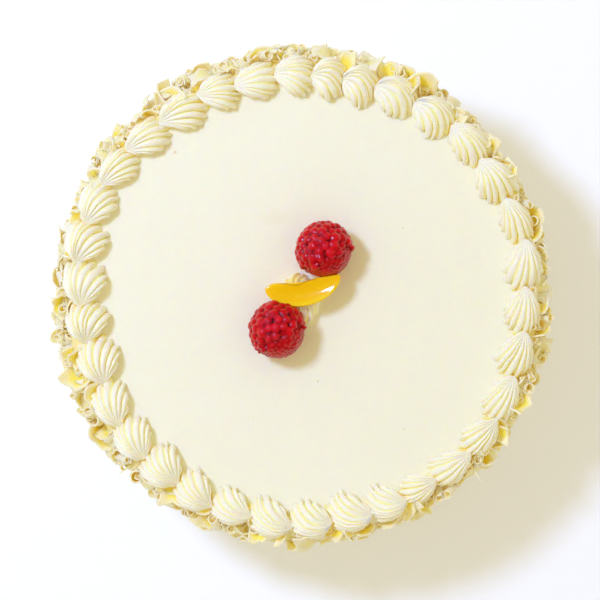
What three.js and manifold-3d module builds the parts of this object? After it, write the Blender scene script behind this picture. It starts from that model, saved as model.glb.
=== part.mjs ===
// A whole lemon cake: a frosted round cake with white chocolate curls pressed into its side, a ring of
// piped shells on its rim, and two raspberries and a slice of fruit on a small rosette in the middle.
// Millimetres, +Z up, origin at the middle of the base. Angles are degrees, anticlockwise from +X.

import * as THREE from 'three';
import { mergeVertices } from 'three/addons/utils/BufferGeometryUtils.js';
import Module from 'manifold-3d';

const wasm = await Module();
wasm.setup();

// Frosted cake
const CAKE_RADIUS = 97;
const CAKE_HEIGHT = 72;
const EDGE_ROUND = 4;
const EDGE_SEGMENTS = 1; // per half of the rounded edge
const FOOT_ROUND = 1.5;
const CAKE_SIDES = 76;
const WALL_ROWS = 7;
const WALL_RELIEF = 3; // small shavings cover the wall between the large curls, as bumps

// Gap left between two pieces that touch
const GAP = 0.3;

// Piped shells, in piping order: angle where the round head starts, then inner and outer radius
const SHELLS = [
  [1, 82, 98], [13, 85.5, 99], [24.5, 83, 100], [36, 84, 100], [47.5, 81.5, 99.5], [58.5, 80.5, 99],
  [69.5, 79.5, 98], [78, 80, 99], [86, 81, 98.5], [95.5, 82, 97.5], [106.5, 81.5, 97], [116, 81, 97.5],
  [128, 82, 97], [139, 84, 98], [149.5, 84, 100], [160, 82, 100], [170, 80, 98.5], [181, 79, 97.5],
  [190.5, 78, 96], [202.5, 80.5, 97], [214, 81, 98], [224.5, 80.5, 99], [235, 82, 99], [245, 82.5, 98.5],
  [255.5, 82, 99.5], [266, 82, 99.5], [276, 80.5, 98.5], [286.5, 82, 98.5], [295.5, 84.5, 97.5],
  [304.5, 84.5, 98.5], [315.5, 85, 99], [326, 84, 98.5], [338, 82, 97], [349.5, 82, 97],
];
const SHELL_RIDGES = 9;
const SHELL_RINGS = 4;
const RIDGE_DEPTH = 1.4;
const RIDGE_RUN_IN = 0.5; // share of its length over which a ridge reaches its full depth
const SHELL_HEIGHT = 0.6; // of the shell's width
const SHELL_TAPER = 0.3; // how much narrower the tail's half is, and wider the head's
const TAIL_HEIGHT = 3;
const TAIL_PLACE = 0.9; // of the shell's length
const TAIL_UNDER = 3.5; // length of tail that the next head covers
const TAIL_LEAN = 1.6; // tails lie a little outside the ring's middle line,
const TAIL_LEAN_SWING = 2.4; // more so on the right of the cake
const HOOK = 0.45; // how far the ridges run back before they turn down, of the shell's length,
const HOOK_SWING = 0.14; // most where the shells hook inwards, twice round the ring
const HOOK_AZIMUTH = 75;

// White chocolate curls on the side
const CURLS = 58;
const CURL_LOWEST = 5;
const CURL_HIGHEST = 70;
const CURL_REACH = 104.5; // no curl stands out further than this
const CURL_STAND = [1.6, 3.8]; // from the wall to a curl's middle
const CURL_SLANT = 80;
const CURL_LEAN = [-15, 35];
const CURL_ROLL = [-60, 60];
const CURL_WALL = 1.1;
const SCROLL_RADIUS = [3, 4.4];
const SCROLL_LENGTH = [9, 15];
const SCROLL_SEGMENTS = 3; // per half turn
const FLAKE_RADIUS = [5, 8];
const FLAKE_LENGTH = [8, 13];
const FLAKE_SPAN = [80, 150];
const FLAKE_SEGMENTS = 2; // per half of its span
const FLAKE_NARROWING = [0.1, 0.5];
const SLIVER_RADIUS = 0.8;
const SLIVER_POINT_RADIUS = 0.3;
const SLIVER_LENGTH = [11, 16];
const SLIVER_STAND = 4;
const SLIVER_LEAN = [50, 75];
const SLIVER_EVERY = 9; // one curl in so many is a sliver
const EVEN_TURN = 137.508; // degrees from one curl to the next, which spreads them evenly
const EVEN_TURN_DRIFT = 8;
const DRAWS_PER_CURL = 10;
const RELIEF_DRAWS = 5000; // the wall's draws start after the curls' own

// Garnish
const BERRIES = [
  { name: 'raspberry_1', place: [9, 18.8], size: [23.6, 24, 22.4], turn: 25 },
  { name: 'raspberry_2', place: [-10, -13.9], size: [23.2, 24.8, 22.8], turn: 60 },
];
const DRUPELETS_ROUND = 12;
const DRUPELET_ROWS = 7;
const DRUPELET_RISE = 1.5;
const ROSETTE_PLACE = [0.6, -0.8];
const ROSETTE_RADIUS = 10.3;
const ROSETTE_HEIGHT = 9.5;
const ROSETTE_LOBES = 8;
const ROSETTE_RINGS = 4;
const ROSETTE_GROOVE = 1.6;
const SLICE_TIPS = [[-14.9, 2.2], [15.4, 8.3]];
const SLICE_BACK_BOW = 0.8; // how far the straight edge bows out from the line between the tips
const SLICE_BELLY_BOW = 9.2;
const SLICE_THICKNESS = 6.5;
const SLICE_BEVEL = 1.4;
const SLICE_SEGMENTS = 7;
const SLICE_MIDDLE_HEIGHT = 84.5;
const SLICE_TILT = 8;

// Finishes
const WHITE_FROSTING = { color: 0xf5f3e6, roughness: 0.55, metalness: 0 };
const PIPED_CREAM = { color: 0xfaf6e0, roughness: 0.5, metalness: 0 };
const RASPBERRY_RED = { color: 0xb8202c, roughness: 0.3, metalness: 0 };
const FRUIT_YELLOW = { color: 0xf6c21a, roughness: 0.25, metalness: 0 };

const radians = THREE.MathUtils.degToRad;
const lerp = THREE.MathUtils.lerp;
const smoothstep = THREE.MathUtils.smoothstep;

// A repeatable draw between 0 and 1 for each whole number
function draw(number) {
  const wave = Math.sin(number * 12.9898) * 43758.5453;
  return wave - Math.floor(wave);
}

function drawBetween([low, high], number) {
  return lerp(low, high, draw(number));
}

function solidOf(geometry) {
  const bare = geometry.clone();
  bare.deleteAttribute('normal');
  bare.deleteAttribute('uv');
  const merged = mergeVertices(bare, 1e-4);
  return new wasm.Manifold(new wasm.Mesh({
    numProp: 3,
    vertProperties: new Float32Array(merged.attributes.position.array),
    triVerts: new Uint32Array(merged.index.array),
  }));
}

function geometryOf(solid) {
  const mesh = solid.getMesh();
  const geometry = new THREE.BufferGeometry();
  geometry.setAttribute('position', new THREE.BufferAttribute(mesh.vertProperties, 3));
  geometry.setIndex(new THREE.BufferAttribute(mesh.triVerts, 1));
  return geometry;
}

// Scraps that a cut leaves are dropped and a hollow that a join seals is filled
function largestPiece(solid) {
  const pieces = solid.decompose();
  return pieces.reduce((best, piece) => (piece.volume() > best.volume() ? piece : best));
}

// A sphere's grid laid over another closed surface: around runs 0 to 1, row counts down from the top
function mappedSphere(columns, rows, pointAt) {
  const geometry = new THREE.SphereGeometry(1, columns, rows);
  const { position, uv } = geometry.attributes;
  for (let i = 0; i < position.count; i += 1) {
    const row = Math.round((1 - uv.getY(i)) * rows);
    const around = row === 0 || row === rows ? 0 : uv.getX(i);
    const point = pointAt(around, row);
    position.setXYZ(i, point.x, point.y, point.z);
  }
  return geometry;
}

// The same shape a little larger, about its own middle
function grown(geometry, growth) {
  geometry.computeBoundingBox();
  const middle = geometry.boundingBox.getCenter(new THREE.Vector3());
  const size = geometry.boundingBox.getSize(new THREE.Vector3());
  const scale = size.clone().addScalar(2 * growth).divide(size);
  const matrix = new THREE.Matrix4().makeTranslation(middle)
    .scale(scale)
    .multiply(new THREE.Matrix4().makeTranslation(middle.clone().negate()));
  return geometry.clone().applyMatrix4(matrix);
}

// Frosted cake: a lathe profile with a soft foot and a rounded top edge, its wall rough with shavings
function cakeCore() {
  const wallTop = CAKE_HEIGHT - EDGE_ROUND;
  const outline = new THREE.Path();
  outline.moveTo(0, 0);
  outline.lineTo(CAKE_RADIUS - FOOT_ROUND, 0);
  for (let row = 0; row <= WALL_ROWS; row += 1) {
    outline.lineTo(CAKE_RADIUS, lerp(FOOT_ROUND, wallTop, row / WALL_ROWS));
  }
  outline.absarc(CAKE_RADIUS - EDGE_ROUND, wallTop, EDGE_ROUND, 0, Math.PI / 2, false);
  outline.lineTo(0, CAKE_HEIGHT);
  const geometry = new THREE.LatheGeometry(outline.getPoints(EDGE_SEGMENTS), CAKE_SIDES);
  geometry.rotateX(Math.PI / 2);
  const { position } = geometry.attributes;
  for (let i = 0; i < position.count; i += 1) {
    const height = position.getZ(i);
    const row = Math.round((height - FOOT_ROUND) / (wallTop - FOOT_ROUND) * WALL_ROWS);
    const angle = Math.atan2(position.getY(i), position.getX(i));
    const column = (Math.round(angle / (2 * Math.PI) * CAKE_SIDES) + CAKE_SIDES) % CAKE_SIDES;
    const onWall = row > 0 && row < WALL_ROWS;
    const bump = onWall ? WALL_RELIEF * draw(RELIEF_DRAWS + row * CAKE_SIDES + column) : 0;
    position.setX(i, position.getX(i) + bump * Math.cos(angle));
    position.setY(i, position.getY(i) + bump * Math.sin(angle));
  }
  return solidOf(geometry);
}

// Scroll: a shaving rolled into a tube, open at both ends, along Z
function scroll(number) {
  const radius = drawBetween(SCROLL_RADIUS, number);
  const length = drawBetween(SCROLL_LENGTH, number + 1);
  const section = new THREE.Shape().absarc(0, 0, radius, 0, 2 * Math.PI, false);
  section.holes.push(new THREE.Path().absarc(0, 0, radius - CURL_WALL, 0, 2 * Math.PI, true));
  const geometry = new THREE.ExtrudeGeometry(section, {
    depth: length,
    bevelEnabled: false,
    curveSegments: SCROLL_SEGMENTS,
  });
  return geometry.translate(0, 0, -length / 2);
}

// Flake: a bowed shaving, narrower at one end
function flake(number) {
  const radius = drawBetween(FLAKE_RADIUS, number);
  const length = drawBetween(FLAKE_LENGTH, number + 1);
  const span = radians(drawBetween(FLAKE_SPAN, number + 2));
  const section = new THREE.Shape();
  section.absarc(0, 0, radius, -span / 2, span / 2, false);
  section.absarc(0, 0, radius - CURL_WALL, span / 2, -span / 2, true);
  section.closePath();
  const geometry = new THREE.ExtrudeGeometry(section, {
    depth: length,
    bevelEnabled: false,
    curveSegments: FLAKE_SEGMENTS,
  });
  geometry.translate(-radius, 0, -length / 2);
  const { position } = geometry.attributes;
  const narrowing = drawBetween(FLAKE_NARROWING, number + 3);
  for (let i = 0; i < position.count; i += 1) {
    const along = position.getZ(i) / length + 0.5;
    position.setY(i, position.getY(i) * (1 - narrowing * along));
  }
  return geometry;
}

// Sliver: a splinter of chocolate
function sliver(number) {
  const length = drawBetween(SLIVER_LENGTH, number);
  return new THREE.CylinderGeometry(SLIVER_POINT_RADIUS, SLIVER_RADIUS, length, 3).rotateX(Math.PI / 2);
}

// Curls are spread evenly round the side and up it, each turned its own way and partly sunk in.
// Before it is set on the wall, X points out of the wall, Y round the cake and Z up.
function placedCurl(index, azimuth) {
  const number = DRAWS_PER_CURL * index + 2;
  const height = lerp(CURL_LOWEST, CURL_HIGHEST, (index + draw(number)) / CURLS);
  const isSliver = index % SLIVER_EVERY === SLIVER_EVERY - 1;
  const rolled = index % 2 === 0 ? scroll : flake;
  const shape = isSliver ? sliver(number + 1) : rolled(number + 1);
  const lean = drawBetween(isSliver ? SLIVER_LEAN : CURL_LEAN, number + 5);
  const stand = isSliver ? SLIVER_STAND : drawBetween(CURL_STAND, number + 6);
  shape.rotateZ(radians(drawBetween(CURL_ROLL, number + 7)));
  shape.rotateY(radians(lean));
  shape.rotateX(radians(drawBetween([-CURL_SLANT, CURL_SLANT], number + 8)));
  shape.translate(CAKE_RADIUS + stand, 0, height);
  return shape.rotateZ(azimuth);
}

// Furthest distance from the cake's axis, and lowest point
function reachOf(geometry) {
  const { position } = geometry.attributes;
  const reach = { radius: 0, bottom: Infinity };
  for (let i = 0; i < position.count; i += 1) {
    reach.radius = Math.max(reach.radius, Math.hypot(position.getX(i), position.getY(i)));
    reach.bottom = Math.min(reach.bottom, position.getZ(i));
  }
  return reach;
}

// A curl that would stand out too far or reach below the base is pushed in or up
function fittedCurl(index) {
  const azimuth = radians(index * EVEN_TURN + EVEN_TURN_DRIFT * draw(DRAWS_PER_CURL * index + 1));
  const shape = placedCurl(index, azimuth);
  const reach = reachOf(shape);
  const push = Math.max(0, reach.radius - CURL_REACH);
  const lift = Math.max(0, FOOT_ROUND - reach.bottom);
  return shape.translate(-push * Math.cos(azimuth), -push * Math.sin(azimuth), lift);
}

// The smooth form of a shell: meridians start at the tail, run over the back and end on the outline.
// turn is the angle round the outline from the tail, fall runs from the tail (0) to the outline (1).
function shellForm(shell, turn, fall) {
  const { length, width, middle, start, lean, hook } = shell;
  const height = width * SHELL_HEIGHT;
  const back = (1 - Math.cos(turn)) / 2;
  const foot = new THREE.Vector3(
    length / 2 * (1 + Math.cos(turn)),
    -width / 2 * Math.sin(turn) * (1 - SHELL_TAPER * Math.cos(turn)) + lean * (1 - back) ** 2,
    0,
  );
  const tail = new THREE.Vector3(length * TAIL_PLACE, lean, TAIL_HEIGHT);
  const shoulder = tail.clone().add(new THREE.Vector3(-hook * length * back, 0, height * back));
  const side = foot.clone().setZ(height * (0.25 + 0.9 * back));
  const local = new THREE.CubicBezierCurve3(tail, shoulder, side, foot).getPoint(fall);
  const angle = radians(start) + local.x / middle;
  const radius = middle + local.y;
  return new THREE.Vector3(radius * Math.cos(angle), radius * Math.sin(angle), local.z);
}

// Ridges are cut into the smooth form, deeper away from the tail
function shellPoint(shell, turn, fall) {
  const step = 0.02;
  const point = shellForm(shell, turn, fall);
  const alongTurn = shellForm(shell, turn + step, fall).sub(shellForm(shell, turn - step, fall));
  const alongFall = point.clone().sub(shellForm(shell, turn, fall - step));
  const inward = alongTurn.cross(alongFall).normalize();
  const groove = 1 - Math.abs(Math.sin(SHELL_RIDGES * turn / 2));
  const depth = RIDGE_DEPTH * groove * smoothstep(fall, 0, RIDGE_RUN_IN);
  return point.addScaledVector(inward, depth);
}

function shellGeometry(shell) {
  const geometry = mappedSphere(2 * SHELL_RIDGES, SHELL_RINGS + 1, (around, row) => {
    const turn = around * 2 * Math.PI;
    if (row === 0) {
      return shellForm(shell, 0, 0);
    }
    if (row > SHELL_RINGS) {
      return shellForm(shell, Math.PI, 1).add(shellForm(shell, 0, 1)).multiplyScalar(0.5);
    }
    return shellPoint(shell, turn, row / SHELL_RINGS);
  });
  return geometry.translate(0, 0, CAKE_HEIGHT + GAP);
}

// Each shell's size and lie from its place in the ring
function pipedShell([start, inner, outer], index) {
  const next = SHELLS[(index + 1) % SHELLS.length][0] + (index + 1 === SHELLS.length ? 360 : 0);
  const middle = (inner + outer) / 2;
  const turn = radians(start);
  return {
    start,
    middle,
    width: outer - inner,
    length: radians(next - start) * middle + TAIL_UNDER,
    lean: TAIL_LEAN + TAIL_LEAN_SWING * Math.cos(turn),
    hook: HOOK + HOOK_SWING * Math.cos(2 * (turn - radians(HOOK_AZIMUTH))),
  };
}

// Raspberry: a ball of drupelets in staggered rows, sitting on the cake's top
function raspberry({ place, size, turn }) {
  const geometry = mappedSphere(2 * DRUPELETS_ROUND, 2 * DRUPELET_ROWS, (around, row) => {
    const spin = around * 2 * Math.PI;
    const fall = row / (2 * DRUPELET_ROWS) * Math.PI;
    const stagger = (row + 1) / 2 % 2 * Math.PI / 2;
    const drupelet = row % 2 * Math.abs(Math.sin(DRUPELETS_ROUND * spin / 2 + stagger));
    const sink = DRUPELET_RISE * (1 - drupelet);
    return new THREE.Vector3(
      (size[0] / 2 - sink) * Math.sin(fall) * Math.cos(spin),
      (size[1] / 2 - sink) * Math.sin(fall) * Math.sin(spin),
      (size[2] / 2 - sink) * Math.cos(fall),
    );
  });
  geometry.rotateZ(radians(turn));
  geometry.computeBoundingBox();
  return geometry.translate(place[0], place[1], CAKE_HEIGHT + GAP - geometry.boundingBox.min.z);
}

// Slice of fruit: a crescent with softened edges, lying with its cut face up across the rosette
function fruitSlice() {
  const [left, right] = SLICE_TIPS.map((tip) => new THREE.Vector2(...tip));
  const chord = right.clone().sub(left);
  const half = chord.length() / 2 - SLICE_BEVEL;
  const belly = (SLICE_BELLY_BOW - SLICE_BEVEL) * 4 / 3;
  const crescent = new THREE.Shape();
  crescent.moveTo(-half, 0);
  crescent.bezierCurveTo(-half * 0.75, -belly, half * 0.75, -belly, half, 0);
  crescent.quadraticCurveTo(0, 2 * (SLICE_BACK_BOW - SLICE_BEVEL), -half, 0);
  const geometry = new THREE.ExtrudeGeometry(crescent, {
    depth: SLICE_THICKNESS - 2 * SLICE_BEVEL,
    curveSegments: SLICE_SEGMENTS,
    bevelSize: SLICE_BEVEL,
    bevelThickness: SLICE_BEVEL,
    bevelSegments: 1,
  });
  geometry.translate(0, 0, -SLICE_THICKNESS / 2);
  geometry.rotateY(radians(SLICE_TILT));
  geometry.rotateZ(chord.angle());
  const middle = left.add(right).multiplyScalar(0.5);
  return geometry.translate(middle.x, middle.y, SLICE_MIDDLE_HEIGHT);
}

// Rosette: one star-piped dab of cream under the garnish
function rosette() {
  const geometry = mappedSphere(2 * ROSETTE_LOBES, ROSETTE_RINGS + 1, (around, row) => {
    if (row > ROSETTE_RINGS) {
      return new THREE.Vector3(0, 0, 0);
    }
    const turn = around * 2 * Math.PI;
    const fall = row / ROSETTE_RINGS;
    const groove = 1 - Math.abs(Math.sin(ROSETTE_LOBES * turn / 2));
    const reach = ROSETTE_RADIUS * Math.sin(fall * Math.PI / 2) - ROSETTE_GROOVE * groove * fall;
    const rise = ROSETTE_HEIGHT * Math.cos(fall * Math.PI / 2);
    return new THREE.Vector3(reach * Math.cos(turn), reach * Math.sin(turn), rise);
  });
  return geometry.translate(ROSETTE_PLACE[0], ROSETTE_PLACE[1], CAKE_HEIGHT + GAP);
}

const object = new THREE.Group();

function addPiece(name, geometry, finish) {
  const piece = new THREE.Mesh(geometry, new THREE.MeshStandardMaterial(finish));
  piece.name = name;
  object.add(piece);
}

// Ring of shells: each head covers the tail of the shell before it, which is cut clear of it
const shellGeometries = SHELLS.map(pipedShell).map(shellGeometry);
shellGeometries.forEach((geometry, index) => {
  const next = shellGeometries[(index + 1) % shellGeometries.length];
  const cut = solidOf(geometry).subtract(solidOf(grown(next, GAP)));
  const name = `shell_${String(index + 1).padStart(2, '0')}`;
  addPiece(name, geometryOf(largestPiece(cut)), PIPED_CREAM);
});

// Cake and curls: a curl that would cross the shells is left out
const ring = wasm.Manifold.union(shellGeometries.map((geometry) => solidOf(grown(geometry, GAP))));
let cake = cakeCore();
for (let index = 0; index < CURLS; index += 1) {
  const curl = solidOf(fittedCurl(index));
  if (curl.intersect(ring).isEmpty()) {
    cake = cake.add(curl);
  }
}
addPiece('cake', geometryOf(largestPiece(cake)), WHITE_FROSTING);

// Garnish: the slice lies clear of both berries, and the rosette is pressed in under all three
const berryGeometries = BERRIES.map(raspberry);
let slice = solidOf(fruitSlice());
let dab = solidOf(rosette());
berryGeometries.forEach((geometry, index) => {
  const hollow = solidOf(grown(geometry, GAP));
  slice = slice.subtract(hollow);
  dab = dab.subtract(hollow);
  addPiece(BERRIES[index].name, geometry, RASPBERRY_RED);
});
dab = dab.subtract(solidOf(grown(fruitSlice(), GAP)));
addPiece('fruit_slice', geometryOf(largestPiece(slice)), FRUIT_YELLOW);
addPiece('rosette', geometryOf(largestPiece(dab)), PIPED_CREAM);

export default object;
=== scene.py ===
import math

import bmesh
import bpy
import numpy as np
from mathutils import Matrix, Vector, noise


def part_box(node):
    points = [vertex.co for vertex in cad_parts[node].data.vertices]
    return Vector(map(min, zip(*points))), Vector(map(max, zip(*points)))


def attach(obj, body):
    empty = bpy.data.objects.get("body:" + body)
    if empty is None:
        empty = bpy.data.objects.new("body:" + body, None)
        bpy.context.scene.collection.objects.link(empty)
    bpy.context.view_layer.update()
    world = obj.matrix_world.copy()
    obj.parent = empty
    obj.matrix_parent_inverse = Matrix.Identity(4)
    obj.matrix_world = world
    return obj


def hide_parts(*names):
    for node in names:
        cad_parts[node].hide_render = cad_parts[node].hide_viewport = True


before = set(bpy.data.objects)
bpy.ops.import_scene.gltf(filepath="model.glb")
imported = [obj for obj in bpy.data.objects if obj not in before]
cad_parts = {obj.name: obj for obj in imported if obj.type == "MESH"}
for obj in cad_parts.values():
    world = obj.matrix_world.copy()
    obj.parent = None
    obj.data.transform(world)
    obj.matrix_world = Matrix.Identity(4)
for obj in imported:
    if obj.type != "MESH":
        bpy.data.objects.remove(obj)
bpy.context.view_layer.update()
MM = 0.001


# Camera. The cake is seen from straight above by a long lens, a little off its axis. Heights are
# counted from the top of the frosting, which the solids of the shells stand just clear of.
CAMERA_HEIGHT = 1250 * MM
CAMERA_OFF_AXIS = (-0.8 * MM, -1.6 * MM)
VIEW_WIDTH_AT_TOP = 246 * MM
SHELL_CLEARANCE = 0.3 * MM
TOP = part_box("shell_01")[0].z - SHELL_CLEARANCE

lens = bpy.data.cameras.new("camera")
lens.sensor_width = 36
lens.lens = lens.sensor_width * (CAMERA_HEIGHT - TOP) / VIEW_WIDTH_AT_TOP
lens.clip_start = 0.1
lens.clip_end = 10
camera = bpy.data.objects.new("camera", lens)
camera.location = (*CAMERA_OFF_AXIS, CAMERA_HEIGHT)
bpy.context.collection.objects.link(camera)
bpy.context.scene.camera = camera
bpy.context.scene.view_settings.view_transform = "Standard"


# Light. One large lamp stands up and to the left, and a bright, slightly warm room fills its
# shadows. Only the lamp is mirrored in wet skins, as in a dark studio.
KEY_AZIMUTH = math.radians(147)
KEY_ELEVATION = math.radians(59)
KEY_DISTANCE = 1200 * MM
KEY_SIZE = 216 * MM
KEY_POWER = 11.2
KEY_COLOUR = (0.392, 0.516, 1.0)
ROOM_COLOUR = (1.0, 0.886, 0.643)
ROOM_STRENGTH = 0.73

key_direction = Vector((
    math.cos(KEY_ELEVATION) * math.cos(KEY_AZIMUTH),
    math.cos(KEY_ELEVATION) * math.sin(KEY_AZIMUTH),
    math.sin(KEY_ELEVATION),
))
lamp = bpy.data.lights.new("key_lamp", "AREA")
lamp.shape = "DISK"
lamp.size = KEY_SIZE
lamp.energy = KEY_POWER
lamp.color = KEY_COLOUR
key = bpy.data.objects.new("key_lamp", lamp)
key.location = Vector((0, 0, TOP)) + key_direction * KEY_DISTANCE
key.rotation_mode = "QUATERNION"
key.rotation_quaternion = key_direction.to_track_quat("Z", "Y")
bpy.context.collection.objects.link(key)

room = bpy.data.worlds.new("room")
room.use_nodes = True
room.node_tree.nodes["Background"].inputs["Color"].default_value = (*ROOM_COLOUR, 1)
room.node_tree.nodes["Background"].inputs["Strength"].default_value = ROOM_STRENGTH
room.cycles_visibility.glossy = False
bpy.context.scene.world = room
# Light goes many times between the pale curls and ridges
bpy.context.scene.cycles.max_bounces = 24
bpy.context.scene.cycles.diffuse_bounces = 16


# Floor. A plain pale sheet that the cake stands on, and no part of it. It has the first finish of
# the file, so the two classes that let a finish be written as plain sums on values come before it.
FLOOR_SIZE = 6000 * MM
FLOOR_COLOUR = (0.97, 0.97, 0.90)
FLOOR_LIFT = (0.35, 0.55, 1.0)
FLOOR_LIFT_STRENGTH = 0.15


class Value:
    """One output of a material's nodes, or an expression on it."""

    def __init__(self, finish, socket):
        self.finish = finish
        self.socket = socket

    def sum(self, operation, first, second):
        return self.finish.node("ShaderNodeMath", {"operation": operation}, {0: first, 1: second})

    def __add__(self, other):
        return self.sum("ADD", self, other)

    def __sub__(self, other):
        return self.sum("SUBTRACT", self, other)

    def __rsub__(self, other):
        return self.sum("SUBTRACT", other, self)

    def __mul__(self, other):
        return self.sum("MULTIPLY", self, other)

    __radd__ = __add__
    __rmul__ = __mul__


class Finish:
    """A material: one principled shader and the nodes that feed it."""

    def __init__(self, name, roughness, specular=0.5):
        self.material = bpy.data.materials.new(name)
        self.material.use_nodes = True
        self.tree = self.material.node_tree
        self.shader = self.tree.nodes["Principled BSDF"]
        self.set(Roughness=roughness)
        self.shader.inputs["Specular IOR Level"].default_value = specular

    def node(self, kind, settings=(), inputs=(), output=0):
        """Adds a node: its settings first, then the numbers or links of its sockets."""
        made = self.tree.nodes.new(kind)
        for name, value in dict(settings).items():
            setattr(made, name, value)
        for name, value in dict(inputs).items():
            self.feed(made.inputs[name], value)
        return Value(self, made.outputs[output])

    def feed(self, socket, value):
        if isinstance(value, Value):
            self.tree.links.new(value.socket, socket)
        elif socket.type == "RGBA" and len(value) == 3:
            socket.default_value = (*value, 1)
        else:
            socket.default_value = value

    def set(self, **inputs):
        for name, value in inputs.items():
            self.feed(self.shader.inputs[name.replace("_", " ")], value)

    def vector(self, operation, first, second=(0, 0, 0), output=0):
        inputs = {0: first, 1: second}
        return self.node("ShaderNodeVectorMath", {"operation": operation}, inputs, output)

    def distance(self, first, second=(0, 0, 0)):
        return self.vector("DISTANCE", first, second, output="Value")

    def place(self):
        return self.node("ShaderNodeTexCoord", output="Object")

    def attribute(self, name):
        return self.node("ShaderNodeAttribute", {"attribute_name": name}, output="Fac")

    def noise(self, size, detail=2.0, roughness=0.5):
        """Soft noise from 0 to 1, with lumps of about the given size."""
        inputs = {"Vector": self.place(), "Scale": 1 / size}
        inputs |= {"Detail": detail, "Roughness": roughness}
        return self.node("ShaderNodeTexNoise", inputs=inputs)

    def ramp(self, value, low, high):
        """0 up to low, 1 from high on, and smooth between them."""
        inputs = {"Value": value, "From Min": low, "From Max": high}
        return self.node("ShaderNodeMapRange", {"interpolation_type": "SMOOTHSTEP"}, inputs)

    def mix(self, share, first, second):
        inputs = {0: share, 6: first, 7: second}
        return self.node("ShaderNodeMix", {"data_type": "RGBA"}, inputs, output=2)

    def bump(self, height, depth):
        return self.node("ShaderNodeBump", inputs={"Height": height, "Distance": depth})

    def glow(self, weight, depth, radii):
        """Lets light soak into the surface and out again nearby."""
        self.shader.inputs["Subsurface Weight"].default_value = weight
        self.shader.inputs["Subsurface Scale"].default_value = depth
        self.shader.inputs["Subsurface Radius"].default_value = radii

    def glaze(self, weight, roughness):
        """Wets the surface."""
        self.shader.inputs["Coat Weight"].default_value = weight
        self.shader.inputs["Coat Roughness"].default_value = roughness


def finished(name, bm, finish, smooth=True):
    """Turns a bmesh into an object of the scene, with its finish on it."""
    mesh = bpy.data.meshes.new(name)
    bm.to_mesh(mesh)
    bm.free()
    if smooth:
        mesh.shade_smooth()
    mesh.materials.append(finish.material)
    piece = bpy.data.objects.new(name, mesh)
    bpy.context.collection.objects.link(piece)
    return piece


floor_finish = Finish("floor", roughness=0.9, specular=0.1)
floor_finish.set(
    Base_Color=FLOOR_COLOUR,
    Emission_Color=FLOOR_LIFT,
    Emission_Strength=FLOOR_LIFT_STRENGTH,
)
sheet = bmesh.new()
bmesh.ops.create_grid(sheet, x_segments=1, y_segments=1, size=FLOOR_SIZE / 2)
floor = finished("floor", sheet, floor_finish, smooth=False)


# Frosted cake. A tall round cake under whipped cream frosting, smoothed with a long blade, so the
# top is flat but for faint swells, a yellow smear beside the garnish and a few specks of crumb.
WALL_RADIUS = 97 * MM
EDGE_ROUND = 4 * MM
FOOT_ROUND = 1.5 * MM
EDGE_STEPS = 6
WALL_CUTS = 20
TOP_CUTS = 44
CAKE_STEPS = 240
TOP_SWELL = 0.35 * MM
TOP_SWELL_WIDTHS = (38 * MM, 11 * MM)
CALM_EDGE = 10 * MM
WALL_SWELL = 0.8 * MM
WALL_SWELL_WIDTH = 9 * MM
SMEAR = (-9 * MM, 32.4 * MM)
SMEAR_REACH = (2 * MM, 14 * MM)
SMEAR_FLATNESS = 2.6
GAP_RADII = (88.5 * MM, 91 * MM)
GAP_DEPTHS = (16 * MM, 5 * MM)
# Each crumb's place and size, in millimetres
CRUMBS = (
    (-52, 59, 0.9),
    (41.4, 27.9, 0.5),
    (6.6, -34.9, 0.6),
    (41.8, -54.5, 0.5),
    (-20, -50, 0.35),
)
FROSTING_DEEP = (0.962, 0.923, 0.660)
FROSTING_PALE = (0.975, 0.935, 0.690)
SMEAR_YELLOW = (0.93, 0.88, 0.62)
# Painted shade: the yellow of the ring under the shells
GAP_SHADE_YELLOW = (0.98, 0.84, 0.34)
CRUMB_BROWN = (0.78, 0.62, 0.28)

outline = bmesh.new()
corners = [(0, 0), (WALL_RADIUS - FOOT_ROUND, 0), (WALL_RADIUS, FOOT_ROUND)]
corners += [(WALL_RADIUS, TOP - EDGE_ROUND)]
for step in range(1, EDGE_STEPS + 1):
    turn = math.pi / 2 * step / EDGE_STEPS
    corners.append((
        WALL_RADIUS - EDGE_ROUND + EDGE_ROUND * math.cos(turn),
        TOP - EDGE_ROUND + EDGE_ROUND * math.sin(turn),
    ))
corners.append((0, TOP))
points = [outline.verts.new((radius, 0, height)) for radius, height in corners]
edges = [outline.edges.new(pair) for pair in zip(points, points[1:])]
wall, top = edges[2], edges[-1]
bmesh.ops.subdivide_edges(outline, edges=[wall], cuts=WALL_CUTS)
bmesh.ops.subdivide_edges(outline, edges=[top], cuts=TOP_CUTS)
bmesh.ops.spin(
    outline,
    geom=outline.verts[:] + outline.edges[:],
    cent=(0, 0, 0),
    axis=(0, 0, 1),
    angle=2 * math.pi,
    steps=CAKE_STEPS,
    use_merge=True,
)
bmesh.ops.remove_doubles(outline, verts=outline.verts, dist=0.01 * MM)
bmesh.ops.recalc_face_normals(outline, faces=outline.faces)
for vert in outline.verts:
    radius = math.hypot(vert.co.x, vert.co.y)
    if vert.co.z > TOP - 0.1 * MM:
        broad, narrow = [noise.noise(vert.co / width) for width in TOP_SWELL_WIDTHS]
        swell = broad + 0.35 * narrow
        vert.co.z += TOP_SWELL * swell * min(1, (WALL_RADIUS - radius) / CALM_EDGE)
    elif vert.co.z > FOOT_ROUND * 1.5:
        out = 1 + WALL_SWELL / WALL_RADIUS * noise.noise(vert.co / WALL_SWELL_WIDTH)
        vert.co.x *= out
        vert.co.y *= out

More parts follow.
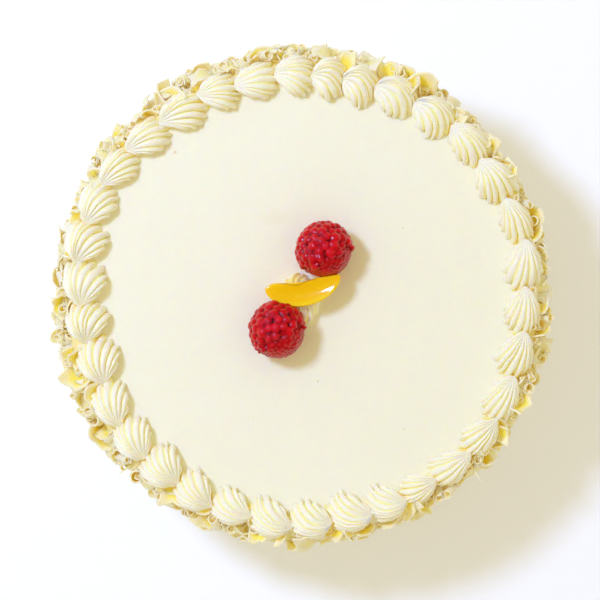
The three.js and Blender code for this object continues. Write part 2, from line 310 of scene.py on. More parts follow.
frosting = Finish("frosting", roughness=0.52, specular=0.35)
frosting.glow(0.4, 3 * MM, (1.0, 0.7, 0.12))
where = frosting.place()
tint = frosting.mix(frosting.noise(45 * MM), FROSTING_DEEP, FROSTING_PALE)
across = frosting.vector("SUBTRACT", where, (*SMEAR, TOP))
away = frosting.distance(frosting.vector("MULTIPLY", across, (1, SMEAR_FLATNESS, 1)))
smear = (1 - frosting.ramp(away, *SMEAR_REACH)) * frosting.ramp(frosting.noise(9 * MM), 0.35, 0.75)
tint = frosting.mix(smear * 0.8, tint, SMEAR_YELLOW)
# Painted shade: the frosting is tinted yellow in a ring under the shells, over the top's outer edge
# and the upper wall, where shade and light thrown from the cream fall
out = frosting.distance(frosting.vector("MULTIPLY", where, (1, 1, 0)))
up = frosting.node("ShaderNodeSeparateXYZ", inputs={"Vector": where}, output="Z")
high_up = frosting.ramp(up, TOP - GAP_DEPTHS[0], TOP - GAP_DEPTHS[1])
tint = frosting.mix(frosting.ramp(out, *GAP_RADII) * high_up, tint, GAP_SHADE_YELLOW)
for x, y, size in CRUMBS:
    away = frosting.distance(where, (x * MM, y * MM, TOP))
    crumb = 1 - frosting.ramp(away, size * 0.3 * MM, size * MM)
    tint = frosting.mix(crumb * 0.75, tint, CRUMB_BROWN)
blade_marks = frosting.noise(1.4 * MM, 4) + 2 * frosting.noise(6 * MM, 2)
frosting.set(Base_Color=tint, Normal=frosting.bump(blade_marks, 0.10 * MM))
cake = finished("frosted_cake", outline, frosting)
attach(cake, "root")
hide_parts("cake")


# Piped shells. Stiff cream is pressed out through a star tip: each shell starts with a round head,
# is drawn back to a tail, and the next head is piped over that tail. The tip's teeth leave round
# ridges that run side by side from the tail to free ends, and turn inward as the hand did.
RIDGES = 12
COLUMNS_PER_RIDGE = 10
SHELL_ROWS = 38
UNDERSIDE = 0.12
RIDGE_DEPTH = 2.2 * MM
RIDGE_FROM = 0.4
RIDGE_CURVE = 0.97
FINGER_DEPTH = 2.0 * MM
FINGER_FROM = 0.65
TIP_SWING = 1.4 * MM
SHELL_HEIGHT = 0.62
SHELL_TAPER = 0.4
TAPERED_REACH = 0.81
CREAM_SEAT = 0.2 * MM
TAIL_HEIGHT = 4.5 * MM
TAIL_PLACE = 0.92
TAIL_UNDER = 4 * MM
# How far from the cake's middle each tail is, in millimetres, and how far each shell's ridges are
# swept inward, in degrees, both judged
TAIL_RADII = (
    94, 91.7, 91.5, 92.5, 91.3, 90.5, 90, 89.8, 91.5, 90, 92, 91.5, 93, 93.5, 93, 93, 90,
    90, 88, 91.5, 92.5, 91.5, 93.5, 92.5, 94.5, 93.5, 93.5, 93.5, 92.8, 94, 94, 92.5, 92.3, 91,
)
TWISTS = (
    20, 15, 15, 30, 75, 80, 75, 50, 20, 0, 10, 25, 30, 30, 35, 40, 35,
    35, 35, 40, 35, 35, 35, 60, 80, 85, 85, 70, 20, 5, 10, 5, 10, 15,
)
SHOULDER_REACH = (0.35, 0.6)
SIDE_REACH = (0.85, 1.05)
SIDE_TWIST = 0.6
SIDE_FOOT = 0.3
SIDE_RISE = 0.75
DROOP_FROM = 94 * MM
DROOP = 0.09
WAVER = ((3, 0.07), (5, 0.05))
# Widths and heights of the unevenness of piped cream, the same in every run
LUMPS = (4 * MM, 0.25 * MM)
GRAINS = (1.1 * MM, 0.05 * MM)
noise.seed_set(1)
CREST_DEEP = (0.965, 0.920, 0.70)
CREST_PALE = (0.975, 0.930, 0.72)
HOLLOW_SHADE_YELLOW = (0.985, 0.91, 0.30)
HOLLOW_PAINTED_GLOW = (0.10, 0.075, 0.0)
DEEP_SHADE_YELLOW = (0.985, 0.89, 0.12)
DEEP_PAINTED_GLOW = (0.05, 0.035, 0.0)
JUICE_YELLOW = (0.99, 0.84, 0.22)
BLACK = (0.0, 0.0, 0.0)

piped_cream = Finish("piped_cream", roughness=0.48, specular=0.35)
piped_cream.glow(0.5, 1.5 * MM, (1.0, 0.7, 0.12))
# Painted shade and glow: the grooves are tinted yellow and glow faintly yellow, for the light that
# cream throws and carries into its hollows
hollow = piped_cream.ramp(piped_cream.attribute("groove"), 0.15, 0.7)
# Painted shade and glow: where two shells meet low down the cream is golden and glows faintly
deep = piped_cream.attribute("deep")
cream = piped_cream.mix(piped_cream.noise(7 * MM), CREST_DEEP, CREST_PALE)
cream = piped_cream.mix(hollow, cream, HOLLOW_SHADE_YELLOW)
cream = piped_cream.mix(deep, cream, DEEP_SHADE_YELLOW)
painted_hollow_glow = piped_cream.mix(hollow, BLACK, HOLLOW_PAINTED_GLOW)
piped_cream.set(
    Base_Color=piped_cream.mix(piped_cream.attribute("juice"), cream, JUICE_YELLOW),
    Emission_Color=piped_cream.mix(deep, painted_hollow_glow, DEEP_PAINTED_GLOW),
    Emission_Strength=1.0,
    Normal=piped_cream.bump(piped_cream.noise(0.7 * MM, 4), 0.06 * MM),
)


def draw(number):
    """Chance from 0 to 1 that is the same in every run, numbered like the solids' own."""
    wave = math.sin(number * 12.9898) * 43758.5453
    return wave - math.floor(wave)


def between(low, high, number):
    return low + (high - low) * draw(number)


def eased(value, low, high):
    """0 at low, 1 at high, and smooth between them."""
    share = np.clip((value - low) / (high - low), 0, 1)
    return share * share * (3 - 2 * share)


def ring_place(node):
    """Where a shell's solid lies: its head's angle round the cake, its inner and outer radius."""
    spots = np.array([vert.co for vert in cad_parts[node].data.vertices])
    middle = math.atan2(spots[:, 1].mean(), spots[:, 0].mean())
    turned = np.exp(-1j * middle) * (spots[:, 0] + 1j * spots[:, 1])
    radii = np.abs(turned)
    return middle + np.angle(turned).min(), radii.min(), radii.max()


def shell_outline(shell, turn):
    """A point of a shell's outline on the frosting: the tail at turn 0, the head at half a turn."""
    back = (1 - np.cos(turn)) / 2
    swell = np.sin(turn) * back**SHELL_TAPER / TAPERED_REACH
    across = shell["lean"] * (1 - back) ** 2 - shell["width"] / 2 * swell
    return np.array([shell["length"] * (1 - back), across, 0 * turn])


def even_ends(shell, turn):
    """Turns the same share round a shell into places on its outline an even way apart."""
    turns = np.linspace(-math.pi, math.pi, 721)
    sides = np.linalg.norm(np.diff(shell_outline(shell, turns), axis=1), axis=0)
    sides *= np.sin(np.abs(turns[1:] + turns[:-1]) / 4) ** 0.8
    places = np.concatenate([[0], np.cumsum(sides)])
    share = (turn + shell["offset"]) / (2 * math.pi) + 0.5
    return np.interp(share % 1, places / places[-1], turns)


def shell_form(shell, turn, fall):
    """The smooth body of a shell, from its tail (fall 0) over its back to its outline (fall 1)."""
    length, height = shell["length"], shell["height"]
    turn = even_ends(shell, turn)
    twist = shell["twist"] * np.sin(np.abs(turn) / 2) ** np.where(turn > 0, 1, 5)
    back = (1 - np.cos(turn)) / 2
    flat = 0 * turn
    tail = np.array([length * TAIL_PLACE + flat, shell["lean"] + flat, TAIL_HEIGHT + flat])
    ahead = shell_outline(shell, turn + twist) - tail
    bend = shell_outline(shell, turn + SIDE_TWIST * twist) - tail
    foot = shell_outline(shell, turn)
    rise = height * (SIDE_FOOT + SIDE_RISE * back) - TAIL_HEIGHT
    shoulder = tail + np.array([
        SHOULDER_REACH[0] * ahead[0],
        SHOULDER_REACH[1] * ahead[1],
        height * back**0.8,
    ])
    side = tail + np.array([SIDE_REACH[0] * bend[0], SIDE_REACH[1] * bend[1], rise])
    rest = 1 - fall
    local = (
        rest**3 * tail
        + 3 * rest**2 * fall * shoulder
        + 3 * rest * fall**2 * side
        + fall**3 * foot
    )
    angle = shell["start"] + local[0] / shell["middle"]
    radius = shell["middle"] + local[1]
    droop = DROOP * np.maximum(0, radius - DROOP_FROM) ** 2 / MM
    return np.array([radius * np.cos(angle), radius * np.sin(angle), local[2] - droop])


def pipe_shell(name, shell, seed):
    """Shapes a ball into a ridged shell on the frosting, its grooves and deepest places marked for
    painted shade.
    """
    bm = bmesh.new()
    columns = shell["ridges"] * COLUMNS_PER_RIDGE
    bmesh.ops.create_uvsphere(bm, u_segments=columns, v_segments=SHELL_ROWS, radius=1)
    ball = np.array([vert.co for vert in bm.verts])
    turn = np.arctan2(ball[:, 1], ball[:, 0])
    share = np.arccos(np.clip(ball[:, 2], -1, 1)) / math.pi
    fall = np.minimum(1, share / (1 - UNDERSIDE))

    # Ridges with round crests, whose free ends swing in or out
    phase = shell["ridges"] * (turn / (2 * math.pi) + 0.5)
    tip = np.array([draw(seed + 20 + index) - 0.5 for index in np.floor(phase + 1e-6)])
    groove = 1 - np.sqrt(1 - RIDGE_CURVE * (2 * (phase % 1) - 1) ** 2)
    (slow, far), (fast, near) = WAVER
    turn += far * np.sin(slow * turn + seed) + near * np.sin(fast * turn + 2 * seed)
    step = 0.01
    body = shell_form(shell, turn, fall)
    along_turn = shell_form(shell, turn + step, fall) - shell_form(shell, turn - step, fall)
    along_fall = body - shell_form(shell, turn, np.maximum(fall - step, 0))
    inward = np.cross(along_turn, along_fall, axis=0)
    inward /= np.maximum(np.linalg.norm(inward, axis=0), 1e-12)
    run_in = eased(fall, 0, RIDGE_FROM)
    end = eased(fall, FINGER_FROM, 1)
    depth = groove * (RIDGE_DEPTH * run_in + FINGER_DEPTH * end)
    body += inward * (depth - TIP_SWING * tip * end * (0.83 - groove))

    # The underside closes to its middle
    under = eased(share, 1 - UNDERSIDE, 1)
    centre = body[:, share > 1 - UNDERSIDE].mean(axis=1, keepdims=True)
    centre[2] = body[2][share > 1 - UNDERSIDE].max()
    body = body * (1 - under) + centre * under

    # Deepest where two shells meet, low down, marked for painted golden shade and glow
    along = (np.arctan2(body[1], body[0]) - shell["start"] + math.pi) % (2 * math.pi) - math.pi
    along = along * shell["middle"] / shell["length"]
    deep = eased(body[2], 4 * MM, 1 * MM) * eased(np.abs(along - 0.45), 0.32, 0.46)
    body[2] += TOP - CREAM_SEAT
    groove_layer = bm.verts.layers.float.new("groove")
    deep_layer = bm.verts.layers.float.new("deep")
    for index, vert in enumerate(bm.verts):
        spot = Vector(body[:, index])
        wobble = noise.noise_vector(spot / LUMPS[0]) * LUMPS[1]
        wobble += noise.noise_vector(spot / GRAINS[0]) * GRAINS[1]
        vert.co = spot + wobble * run_in[index]
        vert[groove_layer] = groove[index] * run_in[index]
        vert[deep_layer] = deep[index]
    if bm.calc_volume(signed=True) < 0:
        bmesh.ops.reverse_faces(bm, faces=bm.faces)
    return finished(name, bm, piped_cream)


shell_nodes = sorted(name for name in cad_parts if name.startswith("shell_"))
places = [ring_place(node) for node in shell_nodes]
for index, node in enumerate(shell_nodes):
    start, inner, outer = places[index]
    gap = (places[(index + 1) % len(places)][0] - start) % (2 * math.pi)
    middle = (inner + outer) / 2
    number = 900 + 10 * index
    shell = {
        "start": start,
        "middle": middle,
        "width": outer - inner,
        "height": SHELL_HEIGHT * (outer - inner) * between(0.94, 1.04, number),
        "length": gap * middle + TAIL_UNDER,
        "lean": TAIL_RADII[index] * MM - middle,
        "twist": math.radians(TWISTS[index]),
        "offset": between(-0.25, 0.25, number + 2),
        "ridges": RIDGES + round(between(-1, 1, number + 3)),
    }
    piece = pipe_shell(f"piped_{node}", shell, number)
    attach(piece, "root")
    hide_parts(node)


# White chocolate curls. A blade shaves a block into scrolls, bowed flakes and splinters, which are
# pressed by hand into the soft frosting all round the side, so they lie every way and overlap.
CAD_CURLS = 58
CURL_LOWEST = 5 * MM
CURL_HIGHEST = 70 * MM
CURL_REACH = 104.5 * MM
EVEN_TURN = math.radians(137.508)
DRIFT = math.radians(8)
DRAWS_PER_CURL = 10
SLIVER_EVERY = 9
WALL_CURLS = 1300
WALL_REACH = 102.5 * MM
CROWN_CURLS = 640
FLOOR_GAP = 0.4 * MM
CROWN_SCROLL_SIZE = 0.68
CROWN_FLAKE_SIZE = 1.15
SCROLL_RADII = (3, 4.4)
SCROLL_WIDTHS = (9, 15)
SCROLL_TURNS = (340, 460)
FLAKE_RADII = (5, 8)
FLAKE_WIDTHS = (8, 13)
FLAKE_TURNS = (80, 150)
SLIVER_WIDTHS = (11, 16)
SLIVER_RADIUS = 2.2 * MM
SLIVER_TURN = 28
FACE_DEEP = (0.890, 0.805, 0.33)
FACE_PALE = (0.905, 0.830, 0.41)
INSIDE_SHADE_YELLOW = (0.96, 0.83, 0.10)
INSIDE_PAINTED_GLOW = (0.045, 0.03, 0.0)
RIM_PAINTED_LIGHT = (0.925, 0.870, 0.65)

chocolate = Finish("white_chocolate", roughness=0.45, specular=0.3)
chocolate.glow(0.5, 1.5 * MM, (1.0, 0.75, 0.25))
# Painted light: the thin rims are paler, for light showing through the thin edges
rim = chocolate.ramp(chocolate.attribute("rim"), 0.55, 1.0)
# Painted shade and glow: the curls' hollow sides are tinted yellow and glow faintly, for light
# thrown about inside them
inside = chocolate.attribute("inside")
face = chocolate.mix(chocolate.noise(5 * MM), FACE_DEEP, FACE_PALE)
face = chocolate.mix(inside * 0.8, face, INSIDE_SHADE_YELLOW)
chocolate.set(
    Base_Color=chocolate.mix(rim * 0.85, face, RIM_PAINTED_LIGHT),
    Emission_Color=chocolate.mix(inside, BLACK, INSIDE_PAINTED_GLOW),
    Emission_Strength=1.0,
    Normal=chocolate.bump(chocolate.noise(0.9 * MM, 3), 0.08 * MM),
)


def shaving(steps_along, steps_across, thickness):
    """A flat strip of unit size, closed all round, ready to be rolled up."""
    bm = bmesh.new()
    bmesh.ops.create_grid(bm, x_segments=steps_along, y_segments=steps_across, size=0.5)
    made = bmesh.ops.extrude_face_region(bm, geom=bm.faces[:])
    lifted = [item for item in made["geom"] if isinstance(item, bmesh.types.BMVert)]
    bmesh.ops.translate(bm, verts=lifted, vec=(0, 0, thickness))
    bmesh.ops.translate(bm, verts=bm.verts, vec=(0, 0, -thickness / 2))
    bmesh.ops.recalc_face_normals(bm, faces=bm.faces)
    return bm


def curled(strip, number, radius, width, sweep, tighten, narrowing, ragged):
    """Rolls a strip about the Z axis, its middle at +X, and marks its rim and its inside."""
    bm = strip.copy()
    rim_layer = bm.verts.layers.float.new("rim")
    inside_layer = bm.verts.layers.float.new("inside")
    seed = Vector((number * 1.7, number * 0.3, 0))
    for vert in bm.verts:
        along, across, lift = vert.co
        vert[rim_layer] = max(abs(along), abs(across)) * 2
        vert[inside_layer] = 1.0 if lift < 0 else 0.0
        tatter = noise.noise(Vector((along * 5, round(across * 2), 0)) + seed) * ragged
        fray = noise.noise(Vector((round(along * 2), across * 7, 5)) + seed) * ragged
        angle = (along + fray * 0.10) * sweep
        reach = radius * (1 - tighten * (along + 0.5)) + lift
        height = across * width * (1 - narrowing * (along + 0.5)) + tatter * width * 0.22
        reach *= 1 + 0.12 * across * ragged
        vert.co = (reach * math.cos(angle), reach * math.sin(angle), height)
    return bm


def scroll_curl(number, strips):
    """A tight roll of a turn or more."""
    radius = between(*SCROLL_RADII, number) * MM
    width = between(*SCROLL_WIDTHS, number + 1) * MM
    sweep = math.radians(between(*SCROLL_TURNS, number + 2))
    form = {"tighten": 0.45, "narrowing": 0.1, "ragged": 0.7}
    return curled(strips["scrolls"], number, radius, width, sweep, **form)


def flake_curl(number, strips):
    """A wide bowed flake, laid over on its middle."""
    radius = between(*FLAKE_RADII, number) * MM
    width = between(*FLAKE_WIDTHS, number + 1) * MM
    sweep = math.radians(between(*FLAKE_TURNS, number + 2))
    form = {"tighten": 0.1, "narrowing": between(0.1, 0.5, number + 3), "ragged": 1.0}
    bm = curled(strips["flakes"], number, radius, width, sweep, **form)
    bmesh.ops.translate(bm, verts=bm.verts, vec=(-radius, 0, 0))
    return bm


def sliver_curl(number, strips):
    """A long splinter that narrows to its upper end."""
    width = between(*SLIVER_WIDTHS, number) * MM
    sweep = math.radians(SLIVER_TURN)
    form = {"tighten": 0, "narrowing": 0, "ragged": 0.3}
    bm = curled(strips["slivers"], number, SLIVER_RADIUS, 1, sweep, **form)
    for vert in bm.verts:
        vert.co.z *= width
        taper = 1 - 0.8 * (vert.co.z / width + 0.5)
        vert.co.x = (vert.co.x - SLIVER_RADIUS) * taper
        vert.co.y *= taper
    return bm


MAKERS = {"scrolls": scroll_curl, "flakes": flake_curl, "slivers": sliver_curl}
LARGE = {
    "scrolls": shaving(22, 4, 0.75 * MM),
    "flakes": shaving(12, 6, 0.7 * MM),
    "slivers": shaving(2, 6, 0.6 * MM),
}
SMALL = {
    "scrolls": shaving(13, 1, 0.8 * MM),
    "flakes": shaving(6, 2, 0.75 * MM),
    "slivers": shaving(1, 3, 0.7 * MM),
}


def lay(heap, bm, azimuth, height, stand, turns, reach):
    """Gives a curl its slant, lean and roll, in degrees, and presses it into the wall."""
    slant, lean, roll = [
        Matrix.Rotation(math.radians(turn), 4, axis) for turn, axis in zip(turns, "XYZ")
    ]
    place = Matrix.Translation((WALL_RADIUS + stand, 0, height))
    bmesh.ops.transform(bm, matrix=place @ slant @ lean @ roll, verts=bm.verts)
    # It goes further in, or up, where it would reach too far out or too low
    out = max(math.hypot(vert.co.x, vert.co.y) for vert in bm.verts)
    low = min(vert.co.z for vert in bm.verts)
    push = Vector((-max(0, out - reach), 0, max(0, FLOOR_GAP - low)))
    bmesh.ops.translate(bm, vec=push, verts=bm.verts)
    bmesh.ops.rotate(bm, cent=(0, 0, 0), matrix=Matrix.Rotation(azimuth, 3, "Z"), verts=bm.verts)
    loose = bpy.data.meshes.new("curl")
    bm.to_mesh(loose)
    bm.free()
    heap.from_mesh(loose)
    bpy.data.meshes.remove(loose)


heaps = {kind: bmesh.new() for kind in MAKERS}

# The large curls lie where the solids have them
for index in range(CAD_CURLS):
    number = DRAWS_PER_CURL * index + 2
    kind = "flakes" if index % 2 else "scrolls"
    turns = [
        between(-80, 80, number + 8),
        between(-15, 35, number + 5),
        between(-60, 60, number + 7),
    ]
    stand = between(1.6, 3.8, number + 6) * MM
    if index % SLIVER_EVERY == SLIVER_EVERY - 1:
        kind = "slivers"
        turns[1] = between(50, 75, number + 5)
        stand = 4 * MM
    azimuth = index * EVEN_TURN + DRIFT * draw(number - 1)
    height = CURL_LOWEST + (CURL_HIGHEST - CURL_LOWEST) * (index + draw(number)) / CAD_CURLS
    lay(heaps[kind], MAKERS[kind](number + 1, LARGE), azimuth, height, stand, turns, CURL_REACH)

# Smaller ones fill the wall between them, and more of them crowd its upper edge
for index in range(WALL_CURLS + CROWN_CURLS):
    number = 2000 + DRAWS_PER_CURL * index
    crown = index >= WALL_CURLS
    azimuth = index * EVEN_TURN + DRIFT * draw(number)
    kind = "slivers" if index % 11 == 0 else "scrolls" if index % 5 < 2 else "flakes"
    curl = MAKERS[kind](number + 1, SMALL)
    size = between(0.6, 1.0, number + 5)
    if crown:
        size *= CROWN_SCROLL_SIZE if kind == "scrolls" else CROWN_FLAKE_SIZE
    bmesh.ops.scale(curl, vec=(size, size, size), verts=curl.verts)
    turns = [
        between(-90, 90, number + 9),
        between(-25, 45, number + 6),
        between(-70, 70, number + 8),
    ]
    if crown:
        turns[0] *= 0.4
        if kind == "flakes":
            turns[1] = between(-70, -10, number + 6) if index % 2 else between(15, 65, number + 6)
        stand = between(-2.5, 5, number + 7) * MM
        height = TOP + between(-11, 2.5, number + 4) * MM - 0.4 * max(0, stand)
        reach = between(101.5, 105.8, number + 3) * MM
    else:
        height = (1.5 + 66 * draw(number + 4)) * MM
        stand = between(-0.4, 2.2, number + 7) * MM
        reach = WALL_REACH
    lay(heaps[kind], curl, azimuth, height, stand, turns, reach)

for kind, heap in heaps.items():
    piece = finished(f"chocolate_{kind}", heap, chocolate)
    piece.data.set_sharp_from_angle(angle=math.radians(50))
    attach(piece, "root")


# Raspberries. Two fresh berries, each a cup of round drupelets. The lower right part of each is
# squashed beyond a crease, and wet with juice. They sit on the frosting against the rosette.
BERRY_SIZES = {"raspberry_1": (23.8, 24.0), "raspberry_2": (23.8, 24.6)}
FOLD_TURN = math.radians(-62)
FOLD_PLACE = 0.31
DRUPELETS = 124
DRUPELET_RADIUS = 2.6 * MM
DRUPELET_RISE = 2.2 * MM
GAP_RISE = 0.45 * MM
SQUASHED = 430
SQUASHED_RADIUS = 1.55 * MM
SQUASHED_RISE = 0.95 * MM
SQUASHED_SINK = 0.25
CREASE_DEPTH = 0.5 * MM
CREASE_WIDTH = 0.05
SKIN_DARK = (0.42, 0.0, 0.002)
SKIN_BRIGHT = (0.72, 0.0, 0.006)
CROWN_HIGHLIGHT_PINK = (0.78, 0.012, 0.022)
CREVICE_SHADE_DARK = (0.15, 0.0, 0.001)
MOTTLE_DARK = (0.26, 0.0, 0.002)

raspberry = Finish("raspberry", roughness=0.34, specular=0.12)
raspberry.glow(0.2, 1.2 * MM, (1.0, 0.15, 0.1))
raspberry.glaze(0.7, 0.10)
dome = raspberry.attribute("dome")
mottled = raspberry.ramp(raspberry.noise(1.5 * MM, 3), 0.5, 0.75)
skin = raspberry.mix(raspberry.attribute("tone"), SKIN_DARK, SKIN_BRIGHT)
# Painted highlight: the drupelets' tops are pinker
skin = raspberry.mix(raspberry.ramp(dome, 0.90, 1.0) * 0.5, skin, CROWN_HIGHLIGHT_PINK)
# Painted shade: the crevices between drupelets are darker
skin = raspberry.mix(raspberry.ramp(dome, 0.80, 0.35), skin, CREVICE_SHADE_DARK)
skin = raspberry.mix(mottled * 0.5, skin, MOTTLE_DARK)
raspberry.set(
    Base_Color=skin,
    Normal=raspberry.bump(raspberry.noise(0.7 * MM, 4, 0.6), 0.5 * MM),
)


def spread(count, seed):
    """Directions spread evenly over a ball, each a little off its place."""
    spots = []
    for index in range(count):
        height = 1 - 2 * (index + 0.5) / count
        ring = math.sqrt(1 - height * height)
        turn = index * EVEN_TURN + seed
        spot = Vector((ring * math.cos(turn), ring * math.sin(turn), height))
        spot += noise.noise_vector(Vector((index * 2.3, seed, 0))) * 0.3 / math.sqrt(count)
        spots.append(spot.normalized())
    return np.array(spots)


def berry(name, node, seed):
    """A ball that each drupelet pushes out, round up to the crease and small and low beyond it."""
    low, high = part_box(node)
    centre = np.array((low + high) / 2)
    half = np.array([*BERRY_SIZES[node], 0]) * MM / 2
    half[2] = (high.z - low.z) / 2
    fold = np.array([math.cos(FOLD_TURN), math.sin(FOLD_TURN), 0])
    bm = bmesh.new()
    bmesh.ops.create_icosphere(bm, subdivisions=6, radius=1)
    balls = np.array([vert.co.normalized() for vert in bm.verts])
    mean = half.mean()
    rise = np.full(len(balls), GAP_RISE)
    dome = np.zeros(len(balls))
    tone = np.zeros(len(balls))
    # Number, from where to where across the crease, radius, rise and darkest tone
    kinds = (
        (DRUPELETS, -1.1, FOLD_PLACE + 0.02, DRUPELET_RADIUS, DRUPELET_RISE, 0.3),
        (SQUASHED, FOLD_PLACE - 0.2, 1.1, SQUASHED_RADIUS, SQUASHED_RISE, 0.0),
    )
    for count, least, most, radius, lift, darkest in kinds:
        for index, spot in enumerate(spread(count, seed)):
            if not least < spot @ fold < most:
                continue
            size = between(0.88, 1.15, 400 + 1000 * seed + index)
            away = np.linalg.norm(balls - spot, axis=1) * mean / (radius * size)
            bump = np.sqrt(np.maximum(0, 1 - away**2))
            higher = bump * lift * size > rise
            rise = np.where(higher, bump * lift * size, rise)
            dome = np.where(higher, bump, dome)
            shade = between(darkest, darkest + 0.7, 700 + 1000 * seed + index)
            tone = np.where(higher, shade, tone)
    beyond = eased(balls @ fold, FOLD_PLACE - 0.02, FOLD_PLACE + 0.06)
    dent = CREASE_DEPTH * np.exp(-(((balls @ fold - FOLD_PLACE) / CREASE_WIDTH) ** 2))
    scale = 1 - (DRUPELET_RISE * (1 - SQUASHED_SINK * beyond) - rise + dent) / mean
    surface = centre + balls * half * scale[:, None]
    dome_layer = bm.verts.layers.float.new("dome")
    tone_layer = bm.verts.layers.float.new("tone")
    for index, vert in enumerate(bm.verts):
        vert.co = surface[index]
        vert[dome_layer] = dome[index]
        vert[tone_layer] = tone[index]
    piece = finished(name, bm, raspberry)
    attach(piece, "root")
    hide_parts(node)


berry("upper_raspberry", "raspberry_1", 1)
berry("lower_raspberry", "raspberry_2", 2)


# Fruit slice. A wet wedge of yellow stone fruit, laid on the rosette and a berry with its cut face
# up. The face is dished, the outer side is round and thick, and a thin brown line follows the side
# that was next to the stone.
SLICE_LEFT = Vector((-14.9, 2.0, 0)) * MM
SLICE_RIGHT = Vector((15.6, 8.1, 0)) * MM
SLICE_BELLY = 9.2 * MM
SLICE_BACK = 1.3 * MM
SLICE_HEEL = 1.6 * MM
SLICE_UPPER = 2.7 * MM
SLICE_LOWER = 5.8 * MM
SLICE_DISH = 2.4 * MM
SLICE_NICK = 0.5 * MM
SLICE_DROP = 4.2 * MM
SLICE_TILT = math.radians(-2)
FLESH_DEEP = (1.0, 0.53, 0.0)
FLESH_PALE = (1.0, 0.62, 0.0)
OUTER_YELLOW = (1.0, 0.66, 0.004)
STONE_BROWN = (0.50, 0.22, 0.002)

fruit = Finish("fruit_flesh", roughness=0.36, specular=0.1)
fruit.glow(0.2, 3 * MM, (1.0, 0.6, 0.05))
fruit.glaze(0.8, 0.10)
flesh = fruit.mix(fruit.noise(3 * MM, 4, 0.6), FLESH_DEEP, FLESH_PALE)
flesh = fruit.mix(fruit.attribute("outer"), flesh, OUTER_YELLOW)
flesh = fruit.mix(fruit.attribute("stone_side") * 0.85, flesh, STONE_BROWN)
fruit.set(
    Base_Color=flesh,
    Normal=fruit.bump(fruit.noise(1.1 * MM, 4, 0.6), 0.18 * MM),
)

low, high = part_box("fruit_slice")
bm = bmesh.new()
bmesh.ops.create_uvsphere(bm, u_segments=96, v_segments=64, radius=1)
bmesh.ops.rotate(bm, cent=(0, 0, 0), matrix=Matrix.Rotation(math.pi / 2, 3, "Y"), verts=bm.verts)
outer_layer = bm.verts.layers.float.new("outer")
stone_layer = bm.verts.layers.float.new("stone_side")
chord = SLICE_RIGHT - SLICE_LEFT
for vert in bm.verts:
    along, ring = vert.co.x, math.hypot(vert.co.y, vert.co.z)
    across, up = vert.co.y / max(ring, 1e-6), vert.co.z / max(ring, 1e-6)
    across = math.copysign(abs(across) ** 0.8, across)
    up = math.copysign(abs(up) ** 0.55, up)
    back = SLICE_BACK * ring**0.35 - SLICE_NICK * math.exp(-((along / 0.25) ** 2))
    back += SLICE_HEEL * ring**0.5 * math.exp(-(((along + 0.8) / 0.3) ** 2))
    belly = SLICE_BELLY * ring**1.15
    width = (back + belly) / 2
    thick = SLICE_UPPER if up > 0 else SLICE_LOWER * (0.7 - 0.3 * across)
    height = up * thick * ring**0.5
    if up > 0:
        height -= SLICE_DISH * (1 - across**2) * ring**2 * up
    vert[outer_layer] = float(eased(-across, 0.45, 0.75))
    line = math.exp(-(((across - 0.86 - 0.08 * math.sin(9 * along)) / 0.05) ** 2))
    vert[stone_layer] = float(line * (up > 0) * eased(abs(along + 0.12), 0.6, 0.35))
    vert.co = (along * chord.length / 2, back - width + width * across, height)
tilt = Matrix.Rotation(SLICE_TILT, 3, "Y")
bmesh.ops.rotate(bm, cent=(0, 0, 0), matrix=tilt, verts=bm.verts)
turn = Matrix.Rotation(math.atan2(chord.y, chord.x), 3, "Z")
bmesh.ops.rotate(bm, cent=(0, 0, 0), matrix=turn, verts=bm.verts)
middle = (SLICE_LEFT + SLICE_RIGHT) / 2
middle.z = high.z - SLICE_DROP
bmesh.ops.translate(bm, vec=middle, verts=bm.verts)
bmesh.ops.recalc_face_normals(bm, faces=bm.faces)
slice_piece = finished("yellow_slice", bm, fruit)
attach(slice_piece, "root")
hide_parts("fruit_slice")


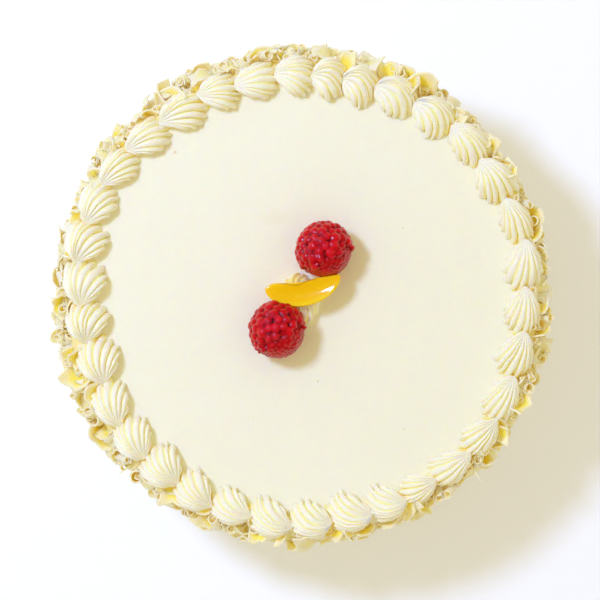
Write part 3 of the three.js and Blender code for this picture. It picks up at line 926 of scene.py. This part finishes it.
# Rosette. One dab of the same cream from the star tip, squashed by the garnish it holds up and
# stained by the slice's juice.
ROSETTE_PLACE = Vector((-1.2 * MM, -1.4 * MM, TOP - CREAM_SEAT))
ROSETTE_REACH = (9.3 * MM, 12 * MM)
ROSETTE_LOBES = 18
ROSETTE_GROOVE = 2.0 * MM
ROSETTE_TWIST = 1.0
ROSETTE_UNDERSIDE = 0.15
ROSETTE_LUMPS = (4 * MM, 0.3 * MM)
JUICE = Vector((-4.5, 8.0, 0)) * MM
JUICE_REACH = (8 * MM, 2 * MM)
JUICE_SHARE = 0.8

low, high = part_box("rosette")
bm = bmesh.new()
bmesh.ops.create_uvsphere(bm, u_segments=ROSETTE_LOBES * 12, v_segments=44, radius=1)
# Its grooves take the cream's painted yellow shade and glow
groove_layer = bm.verts.layers.float.new("groove")
juice_layer = bm.verts.layers.float.new("juice")
for vert in bm.verts:
    turn = math.atan2(vert.co.y, vert.co.x)
    share = math.acos(max(-1, min(1, vert.co.z))) / math.pi
    fall = min(1, share / (1 - ROSETTE_UNDERSIDE))
    groove = 1 - abs(math.sin(ROSETTE_LOBES * turn / 2)) ** 0.7
    lobe = draw(50 + math.floor(ROSETTE_LOBES * turn / (2 * math.pi)))
    turn += ROSETTE_TWIST * (1 - fall)
    reach = math.sin(fall * math.pi / 2) * (1 - 0.2 * lobe * fall)
    if share > 1 - ROSETTE_UNDERSIDE:
        reach *= (1 - share) / ROSETTE_UNDERSIDE
    swell = 0.16 * (lobe - 0.5) * math.sin(math.pi * fall) ** 2
    inward = 1 - ROSETTE_GROOVE * groove * fall / ROSETTE_REACH[0]
    rise = (high.z - low.z) * (math.cos(fall * math.pi / 2) ** 0.7 - swell)
    rise -= 0.5 * ROSETTE_GROOVE * groove * math.sin(math.pi * fall)
    vert[groove_layer] = groove * fall
    spot = Vector((
        ROSETTE_REACH[0] * reach * inward * math.cos(turn),
        ROSETTE_REACH[1] * reach * inward * math.sin(turn),
        rise,
    ))
    spot += ROSETTE_PLACE
    vert.co = spot + noise.noise_vector(spot / ROSETTE_LUMPS[0]) * ROSETTE_LUMPS[1]
    away = (vert.co - JUICE).to_2d().length
    vert[juice_layer] = float(eased(away, *JUICE_REACH)) * JUICE_SHARE
bmesh.ops.recalc_face_normals(bm, faces=bm.faces)
rosette = finished("cream_rosette", bm, piped_cream)
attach(rosette, "root")
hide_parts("rosette")
